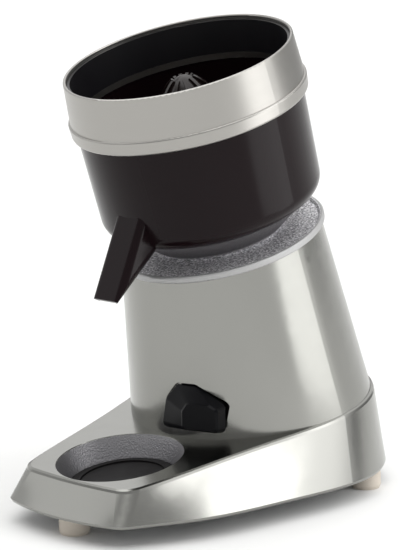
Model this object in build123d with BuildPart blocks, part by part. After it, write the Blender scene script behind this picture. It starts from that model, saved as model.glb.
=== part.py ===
"""Electric citrus juicer with a tilted head, as separate pieces in one frame.

Front is -Y, right is +X, up is +Z. The feet stand on Z = 0.
"""
import os
from math import cos, radians, sin, sqrt, tan

from build123d import *

os.makedirs("parts", exist_ok=True)

# Overall stance
BASE_Z = 14.0
HEAD_TILT = 17.0
HEAD_Y = 21.0
HEAD_Z = 194.0
DECK_TILT = 7.9
RECESS_Y = -85.6
RECESS_Z = 45.2

# Plan outline of the base, at its bottom edge and at the deck
FOOT_NOSE_Y = -151.0
FOOT_CORNER = (58.0, -141.0)
FOOT_FLANK = (84.0, -87.0)
FOOT_WAIST = (99.0, -13.0)
FOOT_FLARE = 12.0
REAR_PULL = 6.0
DECK_NOSE_Y = -134.0
DECK_CORNER = (53.0, -131.0)
DECK_FLANK = (66.0, -82.0)
DECK_WAIST = (81.5, -12.0)
DECK_LEDGE = 2.5
BODY_Y = 52.0
CORNER_R = 15.0
DECK_EDGE_R = 2.4
FOOT_EDGE_R = 3.0
EDGE_STEPS = ((1.0, 0.0), (0.3, 0.3), (0.0, 1.0))

# Body drum and casting walls
BODY_FOOT_R = 90.5
DECK_REAR_R = BODY_FOOT_R + DECK_LEDGE
FOOT_REAR_R = DECK_REAR_R + FOOT_FLARE
FOOT_REAR_Y = BODY_Y - REAR_PULL
BODY_TOP_R = 75.0
WALL = 5.0
RIM_WALL = 7.0
PLATE_T = 2.0
LIP_S = -13.0
LIP_BORE_R = 60.0

# Cup recess
RECESS_R = 46.2
RECESS_FLOOR_R = 39.5
RECESS_DEPTH = 18.5
RECESS_WALL = 3.0
MAT_T = 2.5
MAT_RIB_R = RECESS_FLOOR_R - 7.5
MAT_RIB_W = 2.0
MAT_RIB_H = 1.2

# Fits between pieces
CLEAR = 0.4
LOOSE = 1.0
RUN = 0.05
PLAY = 0.3

# Top flange on the head axis, radius and height pairs use these
FLANGE_R = 77.9
FLANGE_T = 5.0
DISH_DEPTH = 1.6
DISH_R = 73.5
PLUG_BOTTOM = -11.0
BOSS_R = 19.0
BOSS_TOP = 26.0
BOSS_BORE_R = 7.0
SEAL_R = 11.5
SEAL_FLOOR = 18.0

# Bowl, and the cast neck that carries it
NECK_R = 46.0
NECK_WALL = 5.0
NECK_STEP = 0.6
NECK_LIP = 6.0
BOWL_CORNER = 13.0
BOWL_DRAFT = 2.0
BOWL_EDGE_S = 19.1
BOWL_LOW_R = 81.2
BOWL_EDGE_R = BOWL_LOW_R - BOWL_CORNER
BOWL_TOP_R = BOWL_LOW_R + BOWL_DRAFT
BOWL_SEAT = 8.0
BOWL_TOP_S = 105.0
BOWL_WALL = 3.0
CHIMNEY_R = 20.0
CHIMNEY_TOP = 44.0
FLOOR_RISE = 30.0
LEDGE_S = 46.0
LEDGE_W = 3.2
LEDGE_R = BOWL_LOW_R - BOWL_WALL - LEDGE_W
SEAL_T = 1.6

# Spout, side view in the middle plane
SPOUT_HALF = 14.0
SPOUT_WALL = 2.6
SPOUT_TOP_STEP = (-8.8, 27.5)
SPOUT_BROW_STEP = (-34.1, -27.9)
SPOUT_TIP_STEP = (-30.6, -30.1)
SPOUT_HEEL_STEP = (0.2, -4.5)
SPOUT_KEEL_R = 8.0
SPOUT_BROW_R = 5.0
SPOUT_CEILING = 10.0
MOUTH_HALF = 8.5
MOUTH_BACK = 12.3
MOUTH_RISE = 11.4

# Splash ring
RING_BOTTOM = 96.8
RING_STEP = 107.5
RING_TOP = 137.8
BAND_T = 4.2
BAND_STEP = 1.5
RING_DRAFT = 2.2
RING_LEDGE = 4.2
RING_LOW_R = BOWL_TOP_R + BAND_T
RING_STEP_R = RING_LOW_R - BAND_STEP
RING_TOP_R = RING_STEP_R - RING_DRAFT
RING_LEDGE_R = BOWL_TOP_R - RING_LEDGE
RING_T = 2.2
LINER_DROP = 3.0
LINER_T = 2.0

# Reamer
REAMER_APEX = 124.0
REAMER_BASE = 58.0
REAMER_BLUNT = 26.0
REAMER_CORE = 0.87
RIB_COUNT = 10
RIB_T = 2.6
RIB_DROP = 2.0
SKIRT_R = 28.0
SKIRT_S = 41.0
HUB_R = 13.0

# Strainer
STRAINER_GAP = 0.2
STRAINER_R = BOWL_LOW_R - BOWL_WALL - STRAINER_GAP
STRAINER_T = 1.5
STRAINER_EYE_R = 30.0
SLOT_COUNT = 44
SLOT_W = 2.2
SLOT_IN_R = STRAINER_EYE_R + 6.0
SLOT_OUT_R = STRAINER_R - 8.0

# Motor on the head axis
SHIELD_R = 66.0
SHIELD_T = 6.0
STACK_TOP = -45.0
STACK_BOTTOM = -95.0
STACK_BORE_R = 31.3
AIR_GAP = 0.4
TIE_R = 50.3
TIE_D = 4.4
POST_R = 4.4
POST_ROOM = 0.9
STACK_EDGE = 4.7
STACK_R = TIE_R + STACK_EDGE
WIND_IN_R = 33.5
WIND_OUT_R = TIE_R - POST_R - POST_ROOM
WIND_L = 11.0
WIND_ROUND_SHARE = 6 / 23
LOW_SHIELD_S = -108.0
LOW_SHIELD_EDGE = 7.7
LOW_SHIELD_R = TIE_R + LOW_SHIELD_EDGE
TOP_BEARING = (7.5, 17.5, 11.0)
TOP_RACES = (11.0, 11.5)
LOW_BEARING = (6.0, 16.0, 10.0)
LOW_RACES = (9.6, 10.1)
RELIEF = 1.0
SHAFT_R = 6.0
SHAFT_MID_R = 9.0
SHAFT_TOP = 90.0
HEX_S = 30.0
HEX_AF = 9.0
HEX_CLEAR = 0.12
FLINGER_T = 1.5
FLINGER_R = 15.0
FAN_TOP = -126.0
FAN_L = 10.0
FAN_R = 40.0
FAN_BLADES = 8

# Switch, on a flat at an angle round the body
SWITCH_AZ = 17.0
SWITCH_Z = 76.0
SWITCH_SINK = 4.1
PADDLE_ROOM = 1.2
PAD_RIM = 5.0
BEZEL_SHARE = 0.85
BEZEL_T = 2.2
BLOCK_W = 26.0
BLOCK_H = 16.0
BLOCK_V = -3.0
PADDLE_GAP = 2.4
PADDLE_OUT = 12.4
PADDLE_BACK = ((-25.5, -16.3), (25.5, -16.3), (25.5, 4.0), (2.0, 16.5), (-12.5, 16.5), (-22.0, 5.0))
PADDLE_FACE = ((-4.5, -14.0), (25.0, -14.0), (25.0, 3.0), (18.0, 6.5), (0.0, 6.5), (-4.5, 0.0))
PADDLE_BACK_R = 4.0
PADDLE_FACE_R = 3.0
PADDLE_EDGE = 1.6
FACE_SHARE = 0.88
PIN_V = 6.0
PIN_OUT = 6.5
PIN_R = 1.5
LUG_W = 10.0
PLUNGER_V = -4.0
PLUNGER_R = 3.5

# Feet and bottom hardware
FOOT_R = 11.0
FOOT_TOP_R = 10.0
FRONT_FOOT = (0.0, -131.0)
REAR_FOOT_IN = 13.0
REAR_FOOT_TURN = 28.5
FRONT_SCREW = (58.0, -98.0)
REAR_SCREW_IN = 13.5
REAR_SCREW_TURN = 54.0
AIR_SLOT_L = 46.0
BOSS_POST_R = 6.0
POST_H = 20.0
POST_END = 5.8
POST_L = 16.0
FRONT_POST_H = 25.0
SCREW_R = 2.0
GLAND_Z = 33.0
GLAND_R = 9.0
GLAND_BORE_R = 4.0
GLAND_SINK = 3.5
GLAND_WALL = 8.5

# Parts on the base plate
CAP_R = 17.5
CAP_H = 52.0
CAP_AT = (-18.0, -4.0)
TERM_AT = (-46.0, 22.0)
TERM_W = 16.0
TERM_L = 36.0

head_axis_dir = (0, -sin(radians(HEAD_TILT)), cos(radians(HEAD_TILT)))
head_front_dir = (0, -cos(radians(HEAD_TILT)), -sin(radians(HEAD_TILT)))
HEAD = Plane(origin=(0, HEAD_Y, HEAD_Z), x_dir=(1, 0, 0), z_dir=head_axis_dir)
PROFILE = Plane(origin=(0, HEAD_Y, HEAD_Z), x_dir=(1, 0, 0), z_dir=head_front_dir)
HEAD_AXIS = Axis((0, HEAD_Y, HEAD_Z), head_axis_dir)
deck_normal = (0, -sin(radians(DECK_TILT)), cos(radians(DECK_TILT)))
DECK = Plane(origin=(0, RECESS_Y, RECESS_Z), x_dir=(1, 0, 0), z_dir=deck_normal)
BOTTOM = Plane.XY.offset(BASE_Z)
SIDE = Plane.YZ


def deck_z(y):
    """Height of the deck plane at a plan depth."""
    return RECESS_Z + (y - RECESS_Y) * tan(radians(DECK_TILT))


def rear_spot(inset, turn):
    """Plan point inside the round rear of the base, at a turn from the right."""
    reach = FOOT_REAR_R - inset
    return (reach * cos(radians(turn)), FOOT_REAR_Y + reach * sin(radians(turn)))


REAR_FOOT = rear_spot(REAR_FOOT_IN, REAR_FOOT_TURN)
PLATE_SCREWS = (FRONT_SCREW, rear_spot(REAR_SCREW_IN, REAR_SCREW_TURN))
back_foot_y = FOOT_REAR_Y + FOOT_REAR_R
back_deck_y = BODY_Y + DECK_REAR_R
back_share = (GLAND_Z - BASE_Z) / (deck_z(back_deck_y) - BASE_Z)
GLAND_SEAT_Y = back_foot_y + (back_deck_y - back_foot_y) * back_share - GLAND_SINK
GLAND_PAD_Y = GLAND_SEAT_Y - GLAND_WALL


def round_at(sketch, spots):
    """Round the corners of a sketch that lie nearest the given spots."""
    for spot_x, spot_y, radius in spots:
        corner = sketch.vertices().sort_by_distance((spot_x, spot_y, 0))[0]
        fillet(corner, radius=radius)


def turned(points, rounds=()):
    """A piece turned about the head axis from radius and height pairs."""
    with BuildPart() as piece:
        with BuildSketch(PROFILE) as section:
            with BuildLine():
                Polyline(*points, close=True)
            make_face()
            round_at(section, rounds)
        revolve(axis=HEAD_AXIS)
    return piece


def ring_points(inner, outer, low, high):
    """Corner points of a plain ring."""
    return [(inner, low), (outer, low), (outer, high), (inner, high)]


def plan_outline(nose, corner, flank, waist, rear_r, rear_y, inset, round_r):
    """Base outline as a flat face, drawn in one plane and drawn in by an inset."""
    cx, cy = corner[0] - inset, corner[1] + inset
    fx, fy = flank[0] - inset, flank[1]
    wx, wy = waist[0] - inset, waist[1]
    rr = rear_r - inset
    with BuildSketch() as shape:
        with BuildLine():
            ThreePointArc((-cx, cy), (0, nose + inset), (cx, cy))
            Spline((cx, cy), (fx, fy), (wx, wy), (rr, rear_y), tangents=((0.45, 1), (0, 1)))
            ThreePointArc((rr, rear_y), (0, rear_y + rr), (-rr, rear_y))
            Spline((-rr, rear_y), (-wx, wy), (-fx, fy), (-cx, cy), tangents=((0, -1), (0.45, -1)))
        make_face()
        if round_r > 0:
            round_at(shape, [(cx, cy, round_r), (-cx, cy, round_r)])
    return shape.sketch_local


def deck_shift(point):
    """Plan point carried onto the sloping deck."""
    return (point[0], (point[1] - RECESS_Y) / cos(radians(DECK_TILT)))


def foot_outline(inset=0.0, round_r=0.0):
    """Outline at the bottom edge of the base."""
    return plan_outline(FOOT_NOSE_Y, FOOT_CORNER, FOOT_FLANK, FOOT_WAIST, FOOT_REAR_R, FOOT_REAR_Y,
                        inset, round_r)


def deck_outline(inset=0.0, round_r=0.0):
    """Outline of the deck, in deck coordinates."""
    nose = deck_shift((0, DECK_NOSE_Y))[1]
    rear_y = deck_shift((0, BODY_Y))[1]
    return plan_outline(nose, deck_shift(DECK_CORNER), deck_shift(DECK_FLANK), deck_shift(DECK_WAIST),
                        DECK_REAR_R, rear_y, inset, round_r)


def paddle_outline(points, radius, share=1.0):
    """Six-sided outline of the paddle with rounded corners, drawn in about its middle by a share."""
    mid_x = sum(point[0] for point in points) / len(points)
    mid_y = sum(point[1] for point in points) / len(points)
    drawn = [(mid_x + (x - mid_x) * share, mid_y + (y - mid_y) * share) for x, y in points]
    with BuildSketch() as shape:
        with BuildLine():
            Polyline(*drawn, close=True)
        make_face()
        fillet(shape.vertices(), radius=radius)
    return shape.sketch_local


body_foot_v = deck_shift((0, BODY_Y))[1]

# Housing: one polished casting of base, deck, cup recess and body drum
switch_dir = (sin(radians(SWITCH_AZ)), -cos(radians(SWITCH_AZ)), 0)
switch_side = (cos(radians(SWITCH_AZ)), sin(radians(SWITCH_AZ)), 0)
drum_share = (SWITCH_Z - deck_z(BODY_Y)) / (HEAD_Z - deck_z(BODY_Y))
drum_y = BODY_Y + (HEAD_Y - BODY_Y) * drum_share
switch_flat = BODY_FOOT_R + (BODY_TOP_R - BODY_FOOT_R) * drum_share - SWITCH_SINK
switch_origin = (switch_flat * switch_dir[0], drum_y + switch_flat * switch_dir[1], SWITCH_Z)
SWITCH = Plane(origin=switch_origin, x_dir=switch_side, z_dir=switch_dir)
GLAND = Plane(origin=(0, 0, GLAND_Z), x_dir=(-1, 0, 0), z_dir=(0, 1, 0))

with BuildPart() as base_skin:
    for drawn, rise in EDGE_STEPS:
        with BuildSketch(BOTTOM.offset(FOOT_EDGE_R * rise)):
            add(foot_outline(FOOT_EDGE_R * drawn, CORNER_R))
    for drawn, drop in reversed(EDGE_STEPS):
        with BuildSketch(DECK.offset(-DECK_EDGE_R * drop)):
            add(deck_outline(DECK_EDGE_R * drawn, CORNER_R))
    loft(ruled=True)

with BuildPart() as base_hollow:
    with BuildSketch(BOTTOM.offset(PLATE_T)):
        add(foot_outline(RIM_WALL))
    with BuildSketch(DECK.offset(-WALL)):
        add(deck_outline(WALL))
    loft(ruled=True)

with BuildPart() as plate_seat:
    with BuildSketch(BOTTOM):
        add(foot_outline(WALL, CORNER_R - WALL))
    extrude(amount=PLATE_T)

with BuildPart() as drum_skin:
    with BuildSketch(DECK):
        with Locations((0, body_foot_v)):
            Circle(BODY_FOOT_R)
    with BuildSketch(HEAD.offset(-FLANGE_T)):
        Circle(BODY_TOP_R)
    loft(ruled=True)

with BuildPart() as drum_hollow:
    with BuildSketch(DECK.offset(-WALL - 1)):
        with Locations((0, body_foot_v)):
            Circle(BODY_FOOT_R - WALL)
    with BuildSketch(HEAD.offset(LIP_S)):
        Circle(BODY_TOP_R - WALL)
    loft(ruled=True)

with BuildPart() as recess_cup:
    with BuildSketch(DECK.offset(-RECESS_DEPTH - RECESS_WALL)):
        Circle(RECESS_FLOOR_R + RECESS_WALL)
    with BuildSketch(DECK.offset(LOOSE)):
        Circle(RECESS_R + RECESS_WALL)
    loft()

with BuildPart() as front_post:
    with BuildSketch(BOTTOM.offset(PLATE_T)):
        with Locations(FRONT_FOOT):
            Circle(BOSS_POST_R)
    extrude(amount=POST_H / 2)

with BuildPart() as housing_posts:
    with BuildSketch(BOTTOM.offset(PLATE_T)):
        with Locations((FRONT_SCREW[0], FRONT_SCREW[1]), (-FRONT_SCREW[0], FRONT_SCREW[1])):
            Circle(BOSS_POST_R)
    extrude(amount=FRONT_POST_H)
    with BuildSketch(BOTTOM.offset(PLATE_T)):
        with Locations((0, FOOT_REAR_Y)):
            for turn in (REAR_FOOT_TURN, REAR_SCREW_TURN, 180 - REAR_SCREW_TURN, 180 - REAR_FOOT_TURN):
                with PolarLocations(FOOT_REAR_R - POST_END - POST_L / 2, 1, start_angle=turn):
                    Rectangle(POST_L, 2 * BOSS_POST_R)
    extrude(amount=POST_H)
    add(front_post.part)

with BuildPart() as switch_pad:
    with BuildSketch(SWITCH.offset(-8)):
        add(paddle_outline(PADDLE_BACK, PADDLE_BACK_R))
        offset(amount=PADDLE_ROOM + PAD_RIM)
    extrude(amount=30)

with BuildPart() as gland_pad:
    with BuildSketch(GLAND.offset(GLAND_PAD_Y)):
        Circle(GLAND_R + 4)
    extrude(amount=2 * GLAND_WALL)

with BuildPart() as screw_holes:
    with BuildSketch(BOTTOM.offset(PLATE_T)):
        with Locations(FRONT_FOOT, (REAR_FOOT[0], REAR_FOOT[1]), (-REAR_FOOT[0], REAR_FOOT[1])):
            Circle(SCREW_R + PLAY)
        for post_x, post_y in PLATE_SCREWS:
            with Locations((post_x, post_y), (-post_x, post_y)):
                Circle(SCREW_R + PLAY)
    extrude(amount=9)

with BuildPart() as cast_room:
    add(base_hollow.part)
    add(drum_hollow.part)
    add(recess_cup.part, mode=Mode.SUBTRACT)
    add(housing_posts.part, mode=Mode.SUBTRACT)
    add(switch_pad.part, mode=Mode.SUBTRACT)
    add(gland_pad.part, mode=Mode.SUBTRACT)

with BuildPart() as housing:
    add(base_skin.part)
    add(drum_skin.part)
    add(plate_seat.part, mode=Mode.SUBTRACT)
    add(cast_room.part, mode=Mode.SUBTRACT)
    with BuildSketch(HEAD.offset(LIP_S - 1)):
        Circle(LIP_BORE_R)
    extrude(amount=-LIP_S + 1, mode=Mode.SUBTRACT)
    with BuildSketch(DECK.offset(-RECESS_DEPTH)):
        Circle(RECESS_FLOOR_R)
    with BuildSketch(DECK.offset(LOOSE)):
        Circle(RECESS_R + LOOSE * (RECESS_R - RECESS_FLOOR_R) / RECESS_DEPTH)
    loft(mode=Mode.SUBTRACT)
    add(screw_holes.part, mode=Mode.SUBTRACT)
    with BuildSketch(SWITCH):
        add(paddle_outline(PADDLE_BACK, PADDLE_BACK_R))
        offset(amount=PADDLE_ROOM)
    extrude(amount=14, mode=Mode.SUBTRACT)
    with BuildSketch(SWITCH.offset(-20)):
        with Locations((0, BLOCK_V)):
            Rectangle(BLOCK_W + 2 * LOOSE, BLOCK_H + 2 * LOOSE)
    extrude(amount=22, mode=Mode.SUBTRACT)
    with BuildSketch(GLAND.offset(GLAND_SEAT_Y)):
        Circle(GLAND_R + LOOSE)
    extrude(amount=12, mode=Mode.SUBTRACT)
    with BuildSketch(GLAND.offset(GLAND_PAD_Y - 1)):
        Circle(6 + PLAY)
    extrude(amount=14, mode=Mode.SUBTRACT)

# Top flange: dish, neck that carries the bowl, plug in the housing mouth, collar round the shaft
neck_top = BOWL_EDGE_S - SEAL_T
flange_blank = turned(
    [(BOSS_BORE_R, PLUG_BOTTOM), (LIP_BORE_R - PLAY, PLUG_BOTTOM), (LIP_BORE_R - PLAY, -FLANGE_T),
     (FLANGE_R, -FLANGE_T), (FLANGE_R, 0), (DISH_R + 1.6, 0), (DISH_R, -DISH_DEPTH),
     (NECK_R, -DISH_DEPTH), (BOWL_EDGE_R - NECK_STEP, neck_top),
     (BOWL_EDGE_R - NECK_STEP - NECK_LIP, neck_top), (NECK_R - NECK_WALL, -DISH_DEPTH),
     (BOSS_R + 6, -DISH_DEPTH), (BOSS_R, 4), (BOSS_R, BOSS_TOP), (SEAL_R, BOSS_TOP),
     (SEAL_R, SEAL_FLOOR), (BOSS_BORE_R, SEAL_FLOOR)],
    [(FLANGE_R, 0, 1.2), (FLANGE_R, -FLANGE_T, 1.2)])
with BuildPart() as top_flange:
    add(flange_blank.part)
    with BuildSketch(HEAD.offset(PLUG_BOTTOM)):
        with PolarLocations(TIE_R - 5, 4, start_angle=0):
            Circle(SCREW_R + PLAY)
    extrude(amount=6.5, mode=Mode.SUBTRACT)

with BuildPart() as flange_screws:
    with BuildSketch(HEAD.offset(LIP_S - SHIELD_T - 3)):
        with PolarLocations(TIE_R - 5, 4, start_angle=0):
            Circle(2 * SCREW_R)
    extrude(amount=3)
    with BuildSketch(HEAD.offset(LIP_S - SHIELD_T)):
        with PolarLocations(TIE_R - 5, 4, start_angle=0):
            Circle(SCREW_R)
    extrude(amount=PLUG_BOTTOM - LIP_S + SHIELD_T + 5.5)

shaft_seal = turned(ring_points(SHAFT_R + RUN, SEAL_R - RUN, SEAL_FLOOR, BOSS_TOP - 1.5))

# Bowl with its spout
bowl_shell = turned(
    [(BOWL_EDGE_R - BOWL_SEAT, BOWL_EDGE_S), (BOWL_LOW_R, BOWL_EDGE_S),
     (BOWL_TOP_R, BOWL_TOP_S), (BOWL_TOP_R - BOWL_WALL, BOWL_TOP_S),
     (BOWL_LOW_R - BOWL_WALL + 0.7, LEDGE_S), (LEDGE_R, LEDGE_S), (LEDGE_R, LEDGE_S - 1.5),
     (BOWL_LOW_R - BOWL_WALL + 0.4, LEDGE_S - 5.5), (BOWL_LOW_R - BOWL_WALL, BOWL_EDGE_S + BOWL_WALL),
     (CHIMNEY_R + 2.5, FLOOR_RISE), (CHIMNEY_R + 2.5, CHIMNEY_TOP), (CHIMNEY_R, CHIMNEY_TOP),
     (CHIMNEY_R, FLOOR_RISE - BOWL_WALL)],
    [(BOWL_LOW_R, BOWL_EDGE_S, BOWL_CORNER), (BOWL_LOW_R - BOWL_WALL, BOWL_EDGE_S + BOWL_WALL, 10.0),
     (BOWL_TOP_R, BOWL_TOP_S, 0.8)])


def side_run(start, end):
    """Unit direction from one side-view point to another."""
    run = (end[0] - start[0], end[1] - start[1])
    length = sqrt(run[0] ** 2 + run[1] ** 2)
    return (0, run[0] / length, run[1] / length)


tilt_cos = cos(radians(HEAD_TILT))
tilt_sin = sin(radians(HEAD_TILT))
bowl_front_y = HEAD_Y - BOWL_LOW_R * tilt_cos - BOWL_EDGE_S * tilt_sin
bowl_front_z = HEAD_Z - BOWL_LOW_R * tilt_sin + BOWL_EDGE_S * tilt_cos


def spout_point(step):
    """Side-view point stepped off from the front foot of the bowl."""
    return (bowl_front_y + step[0], bowl_front_z + step[1])


SPOUT_TOP = spout_point(SPOUT_TOP_STEP)
SPOUT_BROW = spout_point(SPOUT_BROW_STEP)
SPOUT_TIP = spout_point(SPOUT_TIP_STEP)
SPOUT_HEEL = spout_point(SPOUT_HEEL_STEP)
KEEL = Plane(origin=(0, SPOUT_HEEL[0], SPOUT_HEEL[1]), x_dir=(1, 0, 0),
             z_dir=side_run(SPOUT_HEEL, SPOUT_TIP))
BROW = Plane(origin=(0, SPOUT_TOP[0], SPOUT_TOP[1]), x_dir=(1, 0, 0),
             z_dir=side_run(SPOUT_TOP, SPOUT_BROW))
BAR = 160.0


def long_bar(plane, half, rise, radius):
    """Long round-edged bar whose lower or upper face lies on a plane's x axis."""
    with BuildPart() as bar:
        with BuildSketch(plane):
            with Locations((0, rise)):
                RectangleRounded(2 * half, BAR, radius)
        extrude(amount=BAR, both=True)
    return bar


keel_bar = long_bar(KEEL, SPOUT_HALF, BAR / 2, SPOUT_KEEL_R)
brow_bar = long_bar(BROW, SPOUT_HALF, -BAR / 2, SPOUT_BROW_R)
channel_bar = long_bar(KEEL, SPOUT_HALF - SPOUT_WALL, BAR / 2 + SPOUT_WALL, SPOUT_KEEL_R - SPOUT_WALL)

with BuildPart() as spout_skin:
    with BuildSketch(SIDE):
        with BuildLine():
            Polyline((SPOUT_TOP[0] + 14, SPOUT_TOP[1]), SPOUT_TOP, SPOUT_BROW, SPOUT_TIP, SPOUT_HEEL,
                     (SPOUT_HEEL[0] + 12, SPOUT_HEEL[1] + 9), close=True)
        make_face()
    extrude(amount=SPOUT_HALF, both=True)
    add(keel_bar.part, mode=Mode.INTERSECT)
    add(brow_bar.part, mode=Mode.INTERSECT)

with BuildPart() as bowl_room:
    with BuildSketch(PROFILE):
        with BuildLine():
            Polyline((0, FLOOR_RISE), (CHIMNEY_R + 2.5, FLOOR_RISE),
                     (BOWL_LOW_R - BOWL_WALL - 1.5, BOWL_EDGE_S + BOWL_WALL + 2),
                     (BOWL_LOW_R - BOWL_WALL - 1.5, LEDGE_S), (STRAINER_R + CLEAR, LEDGE_S),
                     (STRAINER_R + CLEAR, BOWL_TOP_S), (0, BOWL_TOP_S), close=True)
        make_face()
    revolve(axis=HEAD_AXIS)

plate_slope = (SPOUT_TOP[0] - SPOUT_BROW[0]) / (SPOUT_TOP[1] - SPOUT_BROW[1])
plate_back = SPOUT_WALL * sqrt(1 + plate_slope ** 2)
keel_slope = (SPOUT_HEEL[1] - SPOUT_TIP[1]) / (SPOUT_HEEL[0] - SPOUT_TIP[0])
keel_rise = SPOUT_WALL * sqrt(1 + keel_slope ** 2)


def plate_y(z):
    """Depth of the inner side of the spout's front plate at a height."""
    return SPOUT_TOP[0] + (z - SPOUT_TOP[1]) * plate_slope + plate_back


def floor_z(y):
    """Height of the spout's floor at a depth."""
    return SPOUT_HEEL[1] + (y - SPOUT_HEEL[0]) * keel_slope + keel_rise


ceiling_z = SPOUT_TOP[1] - SPOUT_CEILING
mouth_y = SPOUT_BROW[0] + MOUTH_BACK
mouth_z = SPOUT_BROW[1] + MOUTH_RISE

with BuildPart() as spout_channel:
    with BuildSketch(SIDE):
        with BuildLine():
            Polyline((SPOUT_TOP[0] + 30, ceiling_z), (plate_y(ceiling_z), ceiling_z),
                     (plate_y(mouth_z), mouth_z), (mouth_y, floor_z(mouth_y)),
                     (SPOUT_HEEL[0], floor_z(SPOUT_HEEL[0])),
                     (SPOUT_HEEL[0] + 8, floor_z(SPOUT_HEEL[0] + 8)), close=True)
        make_face()
    extrude(amount=SPOUT_HALF - SPOUT_WALL, both=True)
    add(channel_bar.part, mode=Mode.INTERSECT)

with BuildPart() as spout_mouth:
    with BuildSketch(SIDE):
        with BuildLine():
            Polyline((plate_y(mouth_z), mouth_z), (plate_y(mouth_z - BAR), mouth_z - BAR),
                     (mouth_y, mouth_z - BAR), (mouth_y, mouth_z), close=True)
        make_face()
    extrude(amount=MOUTH_HALF, both=True)

with BuildPart() as spout_outer:
    add(spout_skin.part)
    add(bowl_room.part, mode=Mode.SUBTRACT)

with BuildPart() as juice_bowl:
    add(bowl_shell.part)
    add(spout_outer.part)
    add(spout_channel.part, mode=Mode.SUBTRACT)
    add(spout_mouth.part, mode=Mode.SUBTRACT)

bowl_seal = turned(ring_points(BOWL_EDGE_R - NECK_LIP, BOWL_EDGE_R - 2 * NECK_STEP, neck_top, BOWL_EDGE_S))

# Strainer plate on the bowl ledge
with BuildPart() as strainer:
    with BuildSketch(PROFILE):
        with BuildLine():
            Polyline((STRAINER_EYE_R, LEDGE_S), (STRAINER_R, LEDGE_S), (STRAINER_R, LEDGE_S + 4),
                     (STRAINER_R - STRAINER_T, LEDGE_S + 4),
                     (STRAINER_R - STRAINER_T, LEDGE_S + STRAINER_T),
                     (STRAINER_EYE_R + STRAINER_T, LEDGE_S + STRAINER_T),
                     (STRAINER_EYE_R + STRAINER_T, LEDGE_S + 6), (STRAINER_EYE_R, LEDGE_S + 6), close=True)
        make_face()
    revolve(axis=HEAD_AXIS)
    with BuildSketch(HEAD.offset(LEDGE_S - 1)):
        with PolarLocations((SLOT_IN_R + SLOT_OUT_R) / 2, SLOT_COUNT):
            SlotOverall(SLOT_OUT_R - SLOT_IN_R, SLOT_W)
    extrude(amount=STRAINER_T + 2, mode=Mode.SUBTRACT)

# Splash ring and its liner
splash_ring = turned(
    [(BOWL_TOP_R + CLEAR, RING_BOTTOM), (RING_LOW_R - 0.6, RING_BOTTOM), (RING_LOW_R, RING_STEP),
     (RING_STEP_R, RING_STEP), (RING_TOP_R, RING_TOP), (RING_TOP_R - RING_T, RING_TOP),
     (RING_STEP_R - RING_T, RING_STEP + RING_T), (RING_LEDGE_R, RING_STEP + RING_T),
     (RING_LEDGE_R, BOWL_TOP_S), (BOWL_TOP_R + CLEAR, BOWL_TOP_S)],
    [(RING_LOW_R - 0.6, RING_BOTTOM, 2.2), (RING_LOW_R, RING_STEP, 1.4),
     (RING_TOP_R, RING_TOP, 1.0), (RING_TOP_R - RING_T, RING_TOP, 0.8)])

liner_share = (RING_TOP - LINER_DROP - RING_STEP - RING_T) / (RING_TOP - RING_STEP - RING_T)
liner_top_r = RING_STEP_R - RING_DRAFT * liner_share - RING_T - PLAY
ring_liner = turned(
    [(RING_LEDGE_R, RING_STEP + RING_T), (RING_STEP_R - RING_T - PLAY, RING_STEP + RING_T),
     (liner_top_r, RING_TOP - LINER_DROP), (liner_top_r - LINER_T, RING_TOP - LINER_DROP)])

# Reamer: blunt ribbed dome with a drip skirt, on a hexagon bush


def dome(depth):
    """Dome radius at a depth below the apex."""
    return sqrt(REAMER_BLUNT * depth)


dome_depth = REAMER_APEX - REAMER_BASE
dome_steps = [0.0, 0.01, 0.04, 0.1, 0.2, 0.35, 0.55, 0.78, 1.0]
dome_line = [(dome(dome_depth * k), REAMER_APEX - dome_depth * k) for k in dome_steps]
core_line = [(x * REAMER_CORE, y - 1.2) for x, y in dome_line]
rib_line = dome_line[2:]

with BuildPart() as reamer:
    with BuildSketch(PROFILE):
        with BuildLine():
            Spline(*core_line)
            Polyline(core_line[-1], (core_line[-1][0], REAMER_BASE - 3.0), (SKIRT_R, REAMER_BASE - 5.0),
                     (SKIRT_R, SKIRT_S), (SKIRT_R - 2.5, SKIRT_S), (SKIRT_R - 2.5, CHIMNEY_TOP + 5),
                     (HUB_R, CHIMNEY_TOP + 5), (HUB_R, HEX_S + FLINGER_T), (9.0, HEX_S + FLINGER_T),
                     (9.0, SHAFT_TOP + 4), (0, SHAFT_TOP + 4), (0, core_line[0][1]))
        make_face()
    revolve(axis=HEAD_AXIS)
    for rib in range(RIB_COUNT):
        turn = radians(rib * 360.0 / RIB_COUNT)
        rib_x = (cos(turn), sin(turn) * head_front_dir[1], sin(turn) * head_front_dir[2])
        rib_z = (-sin(turn), cos(turn) * head_front_dir[1], cos(turn) * head_front_dir[2])
        with BuildSketch(Plane(origin=(0, HEAD_Y, HEAD_Z), x_dir=rib_x, z_dir=rib_z)):
            with BuildLine():
                Spline(*rib_line)
                Polyline(rib_line[-1], (rib_line[-1][0], REAMER_BASE - RIB_DROP),
                         (HUB_R, REAMER_BASE - RIB_DROP), (HUB_R, SHAFT_TOP + 8),
                         (RIB_T, REAMER_APEX - 6), rib_line[0])
            make_face()
        extrude(amount=RIB_T / 2, both=True)

with BuildPart() as reamer_bush:
    with BuildSketch(HEAD.offset(HEX_S + FLINGER_T)):
        Circle(9.0)
        RegularPolygon(HEX_AF / 2 + HEX_CLEAR, 6, major_radius=False, mode=Mode.SUBTRACT)
    extrude(amount=SHAFT_TOP + 4 - HEX_S - FLINGER_T)

# Motor shaft, rotor and what turns with them
top_seat = LIP_S - SHIELD_T - 2.0
top_low = top_seat - TOP_BEARING[2]
low_seat = LOW_SHIELD_S - SHIELD_T - 6.0
low_high = low_seat + LOW_BEARING[2]
rotor_r = STACK_BORE_R - AIR_GAP

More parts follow.
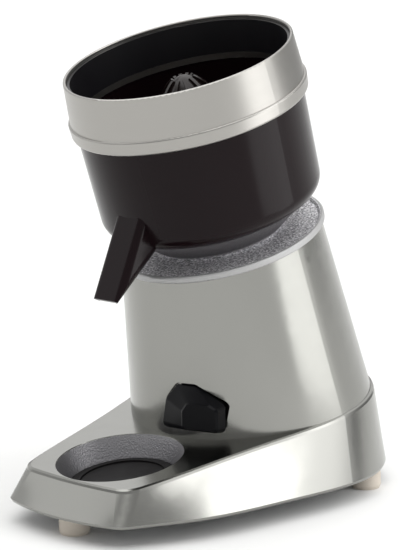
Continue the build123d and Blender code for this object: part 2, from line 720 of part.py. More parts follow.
with BuildPart() as motor_shaft:
    with BuildSketch(PROFILE):
        with BuildLine():
            Polyline((0, FAN_TOP - FAN_L - 3), (5.4, FAN_TOP - FAN_L - 3), (5.4, FAN_TOP),
                     (LOW_BEARING[0], FAN_TOP), (LOW_BEARING[0], low_high), (SHAFT_MID_R, low_high),
                     (SHAFT_MID_R, STACK_TOP + 4), (SHAFT_MID_R + 3, STACK_TOP + 4),
                     (SHAFT_MID_R + 3, STACK_TOP + 8), (SHAFT_MID_R, STACK_TOP + 8),
                     (SHAFT_MID_R, top_low), (TOP_BEARING[0], top_low), (TOP_BEARING[0], top_seat),
                     (SHAFT_R, top_seat), (SHAFT_R, HEX_S), (0, HEX_S), close=True)
        make_face()
    revolve(axis=HEAD_AXIS)
    with BuildSketch(HEAD.offset(HEX_S)):
        RegularPolygon(HEX_AF / 2, 6, major_radius=False)
    extrude(amount=SHAFT_TOP - HEX_S)

with BuildPart() as rotor_core:
    with BuildSketch(HEAD.offset(STACK_BOTTOM - 2)):
        Circle(rotor_r)
        Circle(SHAFT_MID_R + RUN, mode=Mode.SUBTRACT)
    extrude(amount=STACK_TOP + 4 - STACK_BOTTOM + 2)

with BuildPart() as rotor_end_rings:
    with BuildSketch(HEAD.offset(STACK_BOTTOM - 6)):
        Circle(rotor_r - 1)
        Circle(20, mode=Mode.SUBTRACT)
    extrude(amount=4)
    with BuildSketch(HEAD.offset(STACK_TOP + 4)):
        Circle(rotor_r - 1)
        Circle(20, mode=Mode.SUBTRACT)
    extrude(amount=4)

top_bearing_inner = turned(ring_points(TOP_BEARING[0] + RUN / 2, TOP_RACES[0], top_low, top_seat))
low_bearing_inner = turned(ring_points(LOW_BEARING[0] + RUN / 2, LOW_RACES[0], low_seat, low_high))
water_flinger = turned(
    [(5.6, HEX_S), (FLINGER_R, HEX_S), (FLINGER_R, HEX_S - 2.5), (FLINGER_R + 1.2, HEX_S - 2.5),
     (FLINGER_R + 1.2, HEX_S + FLINGER_T), (5.6, HEX_S + FLINGER_T)])

with BuildPart() as cooling_fan:
    with BuildSketch(HEAD.offset(FAN_TOP - FAN_L)):
        Circle(11)
        Circle(5.4 + RUN, mode=Mode.SUBTRACT)
    extrude(amount=FAN_L)
    with BuildSketch(HEAD.offset(FAN_TOP - 2)):
        Circle(FAN_R)
        Circle(10.5, mode=Mode.SUBTRACT)
    extrude(amount=2)
    with BuildSketch(HEAD.offset(FAN_TOP - FAN_L)):
        with PolarLocations((FAN_R + 10) / 2, FAN_BLADES):
            Rectangle(FAN_R - 11, 1.8)
    extrude(amount=FAN_L - 1)

fan_circlip = turned(ring_points(5.4 + RUN, 9.0, FAN_TOP - FAN_L - 1.2, FAN_TOP - FAN_L))

# Standing parts of the motor
with BuildPart() as motor_top_shield:
    with BuildSketch(PROFILE):
        with BuildLine():
            Polyline((SHAFT_R + 4, LIP_S), (SHIELD_R, LIP_S), (SHIELD_R, LIP_S - SHIELD_T),
                     (TOP_BEARING[1] + 5, LIP_S - SHIELD_T), (TOP_BEARING[1] + 5, top_low),
                     (TOP_BEARING[1] + RUN, top_low), (TOP_BEARING[1] + RUN, top_seat),
                     (TOP_RACES[1] + LOOSE, top_seat), (TOP_RACES[1] + LOOSE, top_seat + RELIEF),
                     (SHAFT_R + 4, top_seat + RELIEF), close=True)
        make_face()
    revolve(axis=HEAD_AXIS)
    with BuildSketch(HEAD.offset(STACK_TOP)):
        with PolarLocations(TIE_R, 4, start_angle=45):
            Circle(POST_R)
    extrude(amount=LIP_S - SHIELD_T - STACK_TOP + 1)
    with BuildSketch(HEAD.offset(STACK_TOP)):
        with PolarLocations(TIE_R, 4, start_angle=45):
            Circle(TIE_D / 2 + PLAY)
    extrude(amount=LIP_S - STACK_TOP - 1, mode=Mode.SUBTRACT)
    with BuildSketch(HEAD.offset(LIP_S - SHIELD_T - 1)):
        with PolarLocations(TIE_R - 5, 4, start_angle=0):
            Circle(SCREW_R + PLAY)
    extrude(amount=SHIELD_T + 2, mode=Mode.SUBTRACT)
    with BuildSketch(HEAD.offset(LIP_S - SHIELD_T - 1)):
        with PolarLocations(35, 4, start_angle=45):
            Circle(7)
    extrude(amount=SHIELD_T + 2, mode=Mode.SUBTRACT)

with BuildPart() as motor_low_shield:
    with BuildSketch(PROFILE):
        with BuildLine():
            Polyline((LOW_BEARING[0] + 1, low_seat - 3), (LOW_BEARING[1] + 4, low_seat - 3),
                     (LOW_BEARING[1] + 4, LOW_SHIELD_S - SHIELD_T), (LOW_SHIELD_R, LOW_SHIELD_S - SHIELD_T),
                     (LOW_SHIELD_R, LOW_SHIELD_S), (LOW_BEARING[1] + RUN, LOW_SHIELD_S),
                     (LOW_BEARING[1] + RUN, low_seat), (LOW_RACES[1] + LOOSE, low_seat),
                     (LOW_RACES[1] + LOOSE, low_seat - RELIEF),
                     (LOW_BEARING[0] + 1, low_seat - RELIEF), close=True)
        make_face()
    revolve(axis=HEAD_AXIS)
    with BuildSketch(HEAD.offset(LOW_SHIELD_S - 1)):
        with PolarLocations(TIE_R, 4, start_angle=45):
            Circle(POST_R)
    extrude(amount=STACK_BOTTOM - LOW_SHIELD_S + 1)
    with BuildSketch(HEAD.offset(LOW_SHIELD_S - SHIELD_T - 1)):
        with PolarLocations(TIE_R, 4, start_angle=45):
            Circle(TIE_D / 2 + PLAY)
    extrude(amount=STACK_BOTTOM - LOW_SHIELD_S + SHIELD_T + 2, mode=Mode.SUBTRACT)
    with BuildSketch(HEAD.offset(LOW_SHIELD_S - SHIELD_T - 1)):
        with PolarLocations(36, 4, start_angle=0):
            Circle(10)
    extrude(amount=SHIELD_T + 2, mode=Mode.SUBTRACT)

with BuildPart() as tie_bolts:
    with BuildSketch(HEAD.offset(LOW_SHIELD_S - SHIELD_T - 3.5)):
        with PolarLocations(TIE_R, 4, start_angle=45):
            RegularPolygon(4.2, 6)
    extrude(amount=3.5)
    with BuildSketch(HEAD.offset(LOW_SHIELD_S - SHIELD_T)):
        with PolarLocations(TIE_R, 4, start_angle=45):
            Circle(TIE_D / 2)
    extrude(amount=LIP_S - 2 - LOW_SHIELD_S + SHIELD_T)

with BuildPart() as stator_core:
    with BuildSketch(HEAD.offset(STACK_BOTTOM)):
        Circle(STACK_R)
        Circle(STACK_BORE_R, mode=Mode.SUBTRACT)
        with PolarLocations(TIE_R, 4, start_angle=45):
            Circle(TIE_D / 2 + PLAY, mode=Mode.SUBTRACT)
    extrude(amount=STACK_TOP - STACK_BOTTOM)

with BuildPart() as stator_windings:
    with BuildSketch(HEAD.offset(STACK_TOP)):
        Circle(WIND_OUT_R)
        Circle(WIND_IN_R, mode=Mode.SUBTRACT)
    extrude(amount=WIND_L)
    with BuildSketch(HEAD.offset(STACK_BOTTOM - WIND_L)):
        Circle(WIND_OUT_R)
        Circle(WIND_IN_R, mode=Mode.SUBTRACT)
    extrude(amount=WIND_L)
    end_edges = stator_windings.edges().filter_by(GeomType.CIRCLE).group_by(Axis((0, 0, 0), head_axis_dir))[-1]
    fillet(end_edges, (WIND_OUT_R - WIND_IN_R) * WIND_ROUND_SHARE)

top_bearing_outer = turned(ring_points(TOP_RACES[1], TOP_BEARING[1], top_low, top_seat))
low_bearing_outer = turned(ring_points(LOW_RACES[1], LOW_BEARING[1], low_seat, low_high))

# Base plate, feet and their screws
with BuildPart() as base_plate:
    with BuildSketch(BOTTOM):
        add(foot_outline(WALL + CLEAR, CORNER_R - WALL - CLEAR))
        with Locations(FRONT_FOOT, (REAR_FOOT[0], REAR_FOOT[1]), (-REAR_FOOT[0], REAR_FOOT[1])):
            Circle(SCREW_R + PLAY, mode=Mode.SUBTRACT)
        for post_x, post_y in PLATE_SCREWS:
            with Locations((post_x, post_y), (-post_x, post_y)):
                Circle(SCREW_R + PLAY, mode=Mode.SUBTRACT)
        with Locations((0, BODY_Y + 8)):
            with GridLocations(9, 0, 9, 1):
                SlotOverall(AIR_SLOT_L, 4, rotation=90, mode=Mode.SUBTRACT)
    extrude(amount=PLATE_T)

with BuildPart() as base_plate_screws:
    with BuildSketch(BOTTOM.offset(-2.5)):
        for post_x, post_y in PLATE_SCREWS:
            with Locations((post_x, post_y), (-post_x, post_y)):
                Circle(2 * SCREW_R)
    extrude(amount=2.5)
    with BuildSketch(BOTTOM):
        for post_x, post_y in PLATE_SCREWS:
            with Locations((post_x, post_y), (-post_x, post_y)):
                Circle(SCREW_R)
    extrude(amount=PLATE_T + 8)


def foot(at):
    """Turned rubber foot with a sunk screw hole, standing on the table."""
    with BuildPart() as piece:
        with BuildSketch(Plane(origin=(at[0], at[1], 0), x_dir=(1, 0, 0), z_dir=(0, -1, 0))):
            with BuildLine():
                Polyline((SCREW_R + PLAY, 8), (5, 8), (5, 0), (FOOT_TOP_R, 0), (FOOT_R, 2.5),
                         (FOOT_R, BASE_Z - 3), (FOOT_TOP_R, BASE_Z), (SCREW_R + PLAY, BASE_Z), close=True)
            make_face()
        revolve(axis=Axis((at[0], at[1], 0), (0, 0, 1)))
    return piece


foot_front = foot(FRONT_FOOT)
foot_rear_right = foot(REAR_FOOT)
foot_rear_left = foot((-REAR_FOOT[0], REAR_FOOT[1]))

with BuildPart() as foot_screws:
    with BuildSketch(Plane.XY.offset(5)):
        with Locations(FRONT_FOOT, (REAR_FOOT[0], REAR_FOOT[1]), (-REAR_FOOT[0], REAR_FOOT[1])):
            Circle(2 * SCREW_R)
    extrude(amount=3)
    with BuildSketch(Plane.XY.offset(8)):
        with Locations(FRONT_FOOT, (REAR_FOOT[0], REAR_FOOT[1]), (-REAR_FOOT[0], REAR_FOOT[1])):
            Circle(SCREW_R)
    extrude(amount=BASE_Z + PLATE_T)

# Drip mat in the cup recess
with BuildPart() as drip_mat:
    with BuildSketch(DECK.offset(-RECESS_DEPTH)):
        Circle(RECESS_FLOOR_R - LOOSE)
    extrude(amount=MAT_T)
    with BuildSketch(DECK.offset(-RECESS_DEPTH + MAT_T)):
        Circle(MAT_RIB_R + MAT_RIB_W / 2)
        Circle(MAT_RIB_R - MAT_RIB_W / 2, mode=Mode.SUBTRACT)
    extrude(amount=MAT_RIB_H)

# Switch: bezel on the housing flat, rocking paddle on its pin, plunger, contact block
with BuildPart() as bezel_plate:
    with BuildSketch(SWITCH):
        add(paddle_outline(PADDLE_BACK, PADDLE_BACK_R, BEZEL_SHARE))
        with Locations((0, PLUNGER_V)):
            Circle(PLUNGER_R + PLAY, mode=Mode.SUBTRACT)
    extrude(amount=BEZEL_T)
    with BuildSketch(SWITCH.offset(BEZEL_T)):
        with Locations((0, PIN_V)):
            Rectangle(LUG_W, 5.6)
    extrude(amount=PIN_OUT - BEZEL_T)

SWITCH_SIDE = Plane(origin=switch_origin, x_dir=switch_dir, z_dir=switch_side)
with BuildPart() as switch_lug:
    with BuildSketch(SWITCH_SIDE.offset(-LUG_W / 2)):
        with Locations((PIN_OUT, -PIN_V)):
            Circle(2.8)
    extrude(amount=LUG_W)

with BuildPart() as lug_bore:
    with BuildSketch(SWITCH_SIDE.offset(-8)):
        with Locations((PIN_OUT, -PIN_V)):
            Circle(PIN_R + RUN)
    extrude(amount=16)

with BuildPart() as switch_bezel:
    add(bezel_plate.part)
    add(switch_lug.part)
    add(lug_bore.part, mode=Mode.SUBTRACT)

with BuildPart() as switch_pin:
    with BuildSketch(SWITCH_SIDE.offset(-13)):
        with Locations((PIN_OUT, -PIN_V)):
            Circle(PIN_R)
    extrude(amount=26)

paddle_back = BEZEL_T + PADDLE_GAP
with BuildPart() as switch_paddle:
    with BuildSketch(SWITCH.offset(paddle_back)):
        add(paddle_outline(PADDLE_BACK, PADDLE_BACK_R))
    with BuildSketch(SWITCH.offset(paddle_back + PADDLE_OUT - PADDLE_EDGE)):
        add(paddle_outline(PADDLE_FACE, PADDLE_FACE_R))
    with BuildSketch(SWITCH.offset(paddle_back + PADDLE_OUT)):
        add(paddle_outline(PADDLE_FACE, PADDLE_FACE_R, FACE_SHARE))
    loft(ruled=True)
    with BuildSketch(SWITCH.offset(paddle_back)):
        with Locations((0, -1.75)):
            Rectangle(LUG_W + 3 * LOOSE, 22.5)
    extrude(amount=5.2, mode=Mode.SUBTRACT)
    with BuildSketch(SWITCH_SIDE.offset(-13)):
        with Locations((PIN_OUT, -PIN_V)):
            Circle(PIN_R)
    extrude(amount=26, mode=Mode.SUBTRACT)

with BuildPart() as switch_plunger:
    with BuildSketch(SWITCH.offset(-2)):
        with Locations((0, PLUNGER_V)):
            Circle(PLUNGER_R + 1.0)
    extrude(amount=2)
    with BuildSketch(SWITCH):
        with Locations((0, PLUNGER_V)):
            Circle(PLUNGER_R)
    extrude(amount=paddle_back + 5.2 - 0.5)

with BuildPart() as switch_block:
    with BuildSketch(SWITCH.offset(-22)):
        with Locations((0, BLOCK_V)):
            Rectangle(BLOCK_W, BLOCK_H)
    extrude(amount=22)
    with BuildSketch(SWITCH.offset(-6)):
        with Locations((0, PLUNGER_V)):
            Rectangle(12, 11)
    extrude(amount=6, mode=Mode.SUBTRACT)
    with BuildSketch(SWITCH.offset(-28)):
        with Locations((0, BLOCK_V)):
            with GridLocations(9, 8, 2, 2):
                Rectangle(4.8, 0.8)
    extrude(amount=6)

# Cord gland and its nut
with BuildPart() as cord_gland:
    with BuildSketch(GLAND.offset(GLAND_SEAT_Y)):
        Circle(GLAND_R)
    extrude(amount=3.5)
    with BuildSketch(GLAND.offset(GLAND_PAD_Y - 9)):
        Circle(6)
    extrude(amount=GLAND_SEAT_Y - GLAND_PAD_Y + 9)
    with BuildSketch(GLAND.offset(GLAND_PAD_Y - 10)):
        Circle(GLAND_BORE_R)
    extrude(amount=30, mode=Mode.SUBTRACT)

with BuildPart() as gland_nut:
    with BuildSketch(GLAND.offset(GLAND_PAD_Y - 5)):
        RegularPolygon(10.5, 6)
        Circle(6 + RUN, mode=Mode.SUBTRACT)
    extrude(amount=5)

# Run capacitor with its clip, and the terminal block, on the base plate
plate_top = BASE_Z + PLATE_T
with BuildPart() as run_capacitor:
    with BuildSketch(Plane.XY.offset(plate_top)):
        with Locations(CAP_AT):
            Circle(CAP_R)
    extrude(amount=CAP_H)
    fillet(run_capacitor.edges().group_by(Axis.Z)[-1], radius=2)
    with BuildSketch(Plane.XY.offset(plate_top + CAP_H)):
        with Locations((CAP_AT[0] - 6, CAP_AT[1]), (CAP_AT[0] + 6, CAP_AT[1])):
            Rectangle(6, 1)
    extrude(amount=7)

with BuildPart() as capacitor_clip:
    with BuildSketch(Plane.XY.offset(plate_top)):
        with Locations(CAP_AT):
            Circle(CAP_R + 2)
            Circle(CAP_R + RUN, mode=Mode.SUBTRACT)
        with Locations((CAP_AT[0] + CAP_R + 7.5, CAP_AT[1])):
            Rectangle(13, 10)
    extrude(amount=2)
    with BuildSketch(Plane.XY.offset(plate_top)):
        with Locations(CAP_AT):
            Circle(CAP_R + 2)
            Circle(CAP_R + RUN, mode=Mode.SUBTRACT)
    extrude(amount=16)

with BuildPart() as terminal_block:
    with BuildSketch(Plane.XY.offset(plate_top)):
        with Locations(TERM_AT):
            Rectangle(TERM_W, TERM_L)
    extrude(amount=15)
    with BuildSketch(Plane.XY.offset(plate_top + 6)):
        with Locations(TERM_AT):
            with GridLocations(0, 11, 1, 3):
                Circle(2.6)
    extrude(amount=12, mode=Mode.SUBTRACT)

pieces = {
    "housing": housing,
    "top_flange": top_flange,
    "flange_screws": flange_screws,
    "shaft_seal": shaft_seal,
    "base_plate": base_plate,
    "base_plate_screws": base_plate_screws,
    "foot_front": foot_front,
    "foot_rear_left": foot_rear_left,
    "foot_rear_right": foot_rear_right,
    "foot_screws": foot_screws,
    "drip_mat": drip_mat,
    "switch_bezel": switch_bezel,
    "switch_block": switch_block,
    "switch_paddle": switch_paddle,
    "switch_pin": switch_pin,
    "switch_plunger": switch_plunger,
    "cord_gland": cord_gland,
    "gland_nut": gland_nut,
    "motor_top_shield": motor_top_shield,
    "motor_low_shield": motor_low_shield,
    "tie_bolts": tie_bolts,
    "stator_core": stator_core,
    "stator_windings": stator_windings,
    "top_bearing_outer": top_bearing_outer,
    "low_bearing_outer": low_bearing_outer,
    "run_capacitor": run_capacitor,
    "capacitor_clip": capacitor_clip,
    "terminal_block": terminal_block,
    "motor_shaft": motor_shaft,
    "rotor_core": rotor_core,
    "rotor_end_rings": rotor_end_rings,
    "top_bearing_inner": top_bearing_inner,
    "low_bearing_inner": low_bearing_inner,
    "water_flinger": water_flinger,
    "cooling_fan": cooling_fan,
    "fan_circlip": fan_circlip,
    "reamer": reamer,
    "reamer_bush": reamer_bush,
    "juice_bowl": juice_bowl,
    "bowl_seal": bowl_seal,
    "strainer": strainer,
    "splash_ring": splash_ring,
    "ring_liner": ring_liner,
}
for label, piece in pieces.items():
    piece.part.label = label
    export_step(piece.part, f"parts/{label}.step")
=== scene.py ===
"""Electric citrus juicer: finishes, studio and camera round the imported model."""
import bpy
from math import cos, pi, radians, sin
from mathutils import Matrix

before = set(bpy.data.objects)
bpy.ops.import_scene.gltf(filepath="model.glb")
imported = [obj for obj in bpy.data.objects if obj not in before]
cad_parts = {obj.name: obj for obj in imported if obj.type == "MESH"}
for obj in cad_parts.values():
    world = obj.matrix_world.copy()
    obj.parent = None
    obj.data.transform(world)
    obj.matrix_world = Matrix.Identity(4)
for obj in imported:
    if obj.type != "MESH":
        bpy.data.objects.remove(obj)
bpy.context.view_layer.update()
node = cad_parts

MM = 0.001

# Where the leaning head and the sloping deck are, as in the part's source
HEAD_AT = (0.0, 21.0 * MM, 194.0 * MM)
HEAD_TURN = (radians(17.0), 0.0, 0.0)
DECK_AT = (0.0, -85.6 * MM, 45.2 * MM)
DECK_TURN = (radians(7.9), 0.0, 0.0)
RECESS_R = 46.2 * MM
RECESS_MARGIN = 0.3 * MM
RECESS_TOP = -0.6 * MM
RIM_R = 75.6 * MM
# Height over which the painted shade on the neck under the bowl comes in
NECK_SHADE_FADE = 3.0 * MM

# Depth of the fine relief on skins, brush lines and grain
SKIN_DEPTH = 0.1 * MM


def tone(code):
    """Linear colour from an sRGB hex value."""
    parts = [int(code[i:i + 2], 16) / 255 for i in (1, 3, 5)]
    return [p / 12.92 if p <= 0.04045 else ((p + 0.055) / 1.055) ** 2.4 for p in parts] + [1.0]


# Sockets of a mix node that take colours, and the scale that leaves a vector's level part
MIX_COLOUR = {"A": 6, "B": 7}
LEVEL_ONLY = (1.0, 1.0, 0.0)


def put(tree, kind, inputs=None, **settings):
    """One node with its settings, its input values and the sockets linked into it."""
    made = tree.nodes.new(kind)
    for name, value in settings.items():
        setattr(made, name, value)
    for name, value in (inputs or {}).items():
        if settings.get("data_type") == "RGBA":
            name = MIX_COLOUR.get(name, name)
        if isinstance(value, bpy.types.NodeSocket):
            tree.links.new(value, made.inputs[name])
        else:
            made.inputs[name].default_value = value
    return made


def blank(name, **sockets):
    """A new material with its shader's own values set, and its node tree."""
    material = bpy.data.materials.new(name)
    material.use_nodes = True
    shader = material.node_tree.nodes["Principled BSDF"]
    for socket, value in sockets.items():
        shader.inputs[socket.replace("_", " ")].default_value = value
    return material, material.node_tree, shader


def place(tree):
    """The piece's own coordinates in metres."""
    return put(tree, "ShaderNodeTexCoord").outputs["Object"]


# Cast aluminium, buffed to a soft, cloudy mirror outside and left grey and gritty in the cup recess
# The grit is drawn coarser than the sand was, so that it shows
polished_aluminium, tree, shader = blank("polished_cast_aluminium", Metallic=1.0)
here = place(tree)
cloud = put(tree, "ShaderNodeTexNoise", {"Vector": here, "Scale": 1 / (14 * MM), "Detail": 3.0})
grit = put(tree, "ShaderNodeTexNoise", {"Vector": here, "Scale": 1 / (1.3 * MM), "Detail": 2.0})
wave = put(tree, "ShaderNodeTexNoise", {"Vector": here, "Scale": 1 / (38 * MM), "Detail": 1.0})
in_deck = put(tree, "ShaderNodeMapping", {"Vector": here, "Location": DECK_AT, "Rotation": DECK_TURN},
              vector_type="TEXTURE")
depth = put(tree, "ShaderNodeSeparateXYZ", {"Vector": in_deck.outputs["Vector"]})
flat = put(tree, "ShaderNodeVectorMath", {0: in_deck.outputs["Vector"], 1: LEVEL_ONLY}, operation="MULTIPLY")
reach = put(tree, "ShaderNodeVectorMath", {0: flat.outputs["Vector"]}, operation="LENGTH")
inside = put(tree, "ShaderNodeMath", {0: reach.outputs["Value"], 1: RECESS_R + RECESS_MARGIN},
             operation="LESS_THAN")
below = put(tree, "ShaderNodeMath", {0: depth.outputs["Z"], 1: RECESS_TOP}, operation="LESS_THAN")
recess = put(tree, "ShaderNodeMath", {0: inside.outputs["Value"], 1: below.outputs["Value"]},
             operation="MULTIPLY")
polish = put(tree, "ShaderNodeMapRange", {"Value": cloud.outputs["Fac"], "To Min": 0.17, "To Max": 0.25})
cast = put(tree, "ShaderNodeMapRange", {"Value": grit.outputs["Fac"], "To Min": 0.3, "To Max": 0.5})
rough = put(tree, "ShaderNodeMix", {"Factor": recess.outputs["Value"], "A": polish.outputs["Result"],
                                    "B": cast.outputs["Result"]})
tree.links.new(rough.outputs["Result"], shader.inputs["Roughness"])
tint = put(tree, "ShaderNodeMix", {"Factor": recess.outputs["Value"], "A": tone("#93938F"),
                                   "B": tone("#9C9B9E")}, data_type="RGBA")
tree.links.new(tint.outputs[2], shader.inputs["Base Color"])
soft = put(tree, "ShaderNodeBump", {"Height": wave.outputs["Fac"], "Strength": 0.05, "Distance": 1.0 * MM})
sharp = put(tree, "ShaderNodeMath", {0: recess.outputs["Value"], 1: grit.outputs["Fac"]},
            operation="MULTIPLY")
bumps = put(tree, "ShaderNodeBump", {"Height": sharp.outputs["Value"], "Strength": 0.9, "Distance": 0.5 * MM,
                                     "Normal": soft.outputs["Normal"]})
tree.links.new(bumps.outputs["Normal"], shader.inputs["Normal"])

# Aluminium as it left the sand mould: sparkling grit in the dish, the rim turned smooth, and the neck under
# the bowl tinted dark grey as painted shade
# The grit is drawn coarser than the sand was, so that it shows
sand_aluminium, tree, shader = blank("sand_cast_aluminium", Metallic=0.75)
here = place(tree)
grit = put(tree, "ShaderNodeTexNoise", {"Vector": here, "Scale": 1 / (1.5 * MM), "Detail": 3.0})
in_head = put(tree, "ShaderNodeMapping", {"Vector": here, "Location": HEAD_AT, "Rotation": HEAD_TURN},
              vector_type="TEXTURE")
flat = put(tree, "ShaderNodeVectorMath", {0: in_head.outputs["Vector"], 1: LEVEL_ONLY}, operation="MULTIPLY")
reach = put(tree, "ShaderNodeVectorMath", {0: flat.outputs["Vector"]}, operation="LENGTH")
dish = put(tree, "ShaderNodeMath", {0: reach.outputs["Value"], 1: RIM_R}, operation="LESS_THAN")
rough = put(tree, "ShaderNodeMapRange", {"Value": grit.outputs["Fac"], "To Min": 0.5, "To Max": 0.72})
tree.links.new(rough.outputs["Result"], shader.inputs["Roughness"])
speck = put(tree, "ShaderNodeMapRange", {"Value": grit.outputs["Fac"], "From Min": 0.38, "From Max": 0.62})
sand = put(tree, "ShaderNodeMix", {"Factor": speck.outputs["Result"], "A": tone("#98979C"),
                                   "B": tone("#FEFDFF")}, data_type="RGBA")
height = put(tree, "ShaderNodeSeparateXYZ", {"Vector": in_head.outputs["Vector"]})
# Painted shade: the neck just above the dish turns dark grey, standing in for the shade under the bowl
neck_painted_shade = put(tree, "ShaderNodeMapRange", {"Value": height.outputs["Z"], "From Min": 0.0, "From Max": NECK_SHADE_FADE})
skin = put(tree, "ShaderNodeMix", {"Factor": neck_painted_shade.outputs["Result"], "A": sand.outputs[2],
                                   "B": tone("#6A686B")}, data_type="RGBA")
tint = put(tree, "ShaderNodeMix", {"Factor": dish.outputs["Value"], "A": tone("#B4B4B4"),
                                   "B": skin.outputs[2]}, data_type="RGBA")
tree.links.new(tint.outputs[2], shader.inputs["Base Color"])
lumps = put(tree, "ShaderNodeMath", {0: grit.outputs["Fac"], 1: dish.outputs["Value"]}, operation="MULTIPLY")
bumps = put(tree, "ShaderNodeBump", {"Height": lumps.outputs["Value"], "Strength": 1.0, "Distance": 1.0 * MM})
tree.links.new(bumps.outputs["Normal"], shader.inputs["Normal"])

# Satin stainless steel, brushed round the head so that highlights spread up and down
# The brush lines are drawn coarser than they are, so that they show
BRUSH_GRAIN = (6.0, 6.0, 1 / (0.5 * MM))
satin_steel, tree, shader = blank("satin_stainless_steel", Metallic=1.0, Base_Color=tone("#A3A19D"))
in_head = put(tree, "ShaderNodeMapping", {"Vector": place(tree), "Location": HEAD_AT, "Rotation": HEAD_TURN},
              vector_type="TEXTURE")
lines = put(tree, "ShaderNodeTexNoise", {"Vector": put(tree, "ShaderNodeVectorMath", {
    0: in_head.outputs["Vector"], 1: BRUSH_GRAIN}, operation="MULTIPLY").outputs["Vector"],
    "Scale": 1.0, "Detail": 3.0})
rough = put(tree, "ShaderNodeMapRange", {"Value": lines.outputs["Fac"], "To Min": 0.26, "To Max": 0.38})
tree.links.new(rough.outputs["Result"], shader.inputs["Roughness"])
bumps = put(tree, "ShaderNodeBump", {"Height": lines.outputs["Fac"], "Strength": 0.12,
                                     "Distance": SKIN_DEPTH})
tree.links.new(bumps.outputs["Normal"], shader.inputs["Normal"])


def moulded(name, colour, smooth, dull, peel_mm, peel, shine=0.35):
    """Injection moulded plastic or rubber: even colour, gloss that varies a little, a skin from the mould."""
    material, tree, shader = blank(name, Base_Color=tone(colour), IOR=1.5, Specular_IOR_Level=shine)
    here = place(tree)
    cloud = put(tree, "ShaderNodeTexNoise", {"Vector": here, "Scale": 1 / (20 * MM), "Detail": 3.0})
    rough = put(tree, "ShaderNodeMapRange", {"Value": cloud.outputs["Fac"], "To Min": smooth, "To Max": dull})
    tree.links.new(rough.outputs["Result"], shader.inputs["Roughness"])
    skin = put(tree, "ShaderNodeTexNoise", {"Vector": here, "Scale": 1 / (peel_mm * MM), "Detail": 2.0})
    bumps = put(tree, "ShaderNodeBump", {"Height": skin.outputs["Fac"], "Strength": peel,
                                         "Distance": SKIN_DEPTH})
    tree.links.new(bumps.outputs["Normal"], shader.inputs["Normal"])
    return material


# ABS moulded in a polished tool: warm black with a clear, slightly wavy gloss
gloss_abs = moulded("gloss_black_abs", "#140A0D", 0.14, 0.22, 5.0, 0.05, 0.14)
# Rubber moulded into a boot: deep black with a dull sheen
boot_rubber = moulded("black_switch_boot_rubber", "#08080B", 0.26, 0.36, 1.5, 0.1, 0.1)
# ABS moulded in an etched tool: black with a fine satin
satin_abs = moulded("satin_black_abs", "#151417", 0.3, 0.42, 1.2, 0.15)
# ABS moulded with ribs: brown black with a soft gloss
reamer_abs = moulded("reamer_black_abs", "#1E1716", 0.16, 0.26, 4.0, 0.06)
# Nitrile rubber moulded to shape: black and matt, with a fine skin drawn coarse enough to show
black_rubber = moulded("black_nitrile_rubber", "#100E0F", 0.5, 0.7, 0.9, 0.4, 0.2)
# Pale rubber moulded to shape: beige and matt, with the same coarse drawn skin
beige_rubber = moulded("beige_rubber", "#CBC2B6", 0.55, 0.75, 1.0, 0.4)
# Polyamide moulded to shape: off white and dull
white_polyamide = moulded("white_polyamide", "#D8D5CB", 0.4, 0.55, 1.0, 0.2)


def metal(name, colour, smooth, dull, grain_mm):
    """Machined, plated or drawn metal with a fine grain."""
    material, tree, shader = blank(name, Base_Color=tone(colour), Metallic=1.0)
    here = place(tree)
    grain = put(tree, "ShaderNodeTexNoise", {"Vector": here, "Scale": 1 / (grain_mm * MM), "Detail": 3.0})
    rough = put(tree, "ShaderNodeMapRange", {"Value": grain.outputs["Fac"], "To Min": smooth, "To Max": dull})
    tree.links.new(rough.outputs["Result"], shader.inputs["Roughness"])
    bumps = put(tree, "ShaderNodeBump", {"Height": grain.outputs["Fac"], "Strength": 0.15,
                                         "Distance": SKIN_DEPTH})
    tree.links.new(bumps.outputs["Normal"], shader.inputs["Normal"])
    return material


# Steel with a zinc plating: pale grey with a soft sheen
zinc_steel = metal("zinc_plated_steel", "#B9BABB", 0.25, 0.42, 2.5)
# Stamped sheet steel under varnish: dark grey and dull
lamination_steel = metal("varnished_lamination_steel", "#74757A", 0.4, 0.55, 0.8)
# Copper wound under enamel: red brown with a sheen
copper_wire = metal("enamelled_copper_wire", "#B8693A", 0.25, 0.4, 0.8)
# Brass turned on a lathe: yellow and bright
brass = metal("machined_brass", "#C9A558", 0.2, 0.35, 1.0)
# Aluminium drawn or cast plain: light grey with a soft sheen
drawn_aluminium = metal("drawn_aluminium", "#C6C7C8", 0.3, 0.45, 1.5)

finish = {
    polished_aluminium: ["housing"],
    sand_aluminium: ["top_flange", "motor_top_shield", "motor_low_shield"],
    satin_steel: ["splash_ring", "strainer"],
    gloss_abs: ["juice_bowl"],
    boot_rubber: ["switch_paddle", "switch_bezel"],
    satin_abs: ["ring_liner", "cord_gland", "gland_nut", "cooling_fan"],
    reamer_abs: ["reamer"],
    black_rubber: ["drip_mat", "shaft_seal", "water_flinger", "bowl_seal"],
    beige_rubber: ["foot_front", "foot_rear_left", "foot_rear_right"],
    white_polyamide: ["switch_block", "switch_plunger", "terminal_block"],
    zinc_steel: ["flange_screws", "base_plate", "base_plate_screws", "foot_screws", "switch_pin", "tie_bolts",
                 "top_bearing_outer", "low_bearing_outer", "top_bearing_inner", "low_bearing_inner",
                 "motor_shaft", "capacitor_clip", "fan_circlip"],
    lamination_steel: ["stator_core", "rotor_core"],
    copper_wire: ["stator_windings"],
    brass: ["reamer_bush"],
    drawn_aluminium: ["run_capacitor", "rotor_end_rings"],
}
for material, names in finish.items():
    for name in names:
        node[name].data.materials.clear()
        node[name].data.materials.append(material)

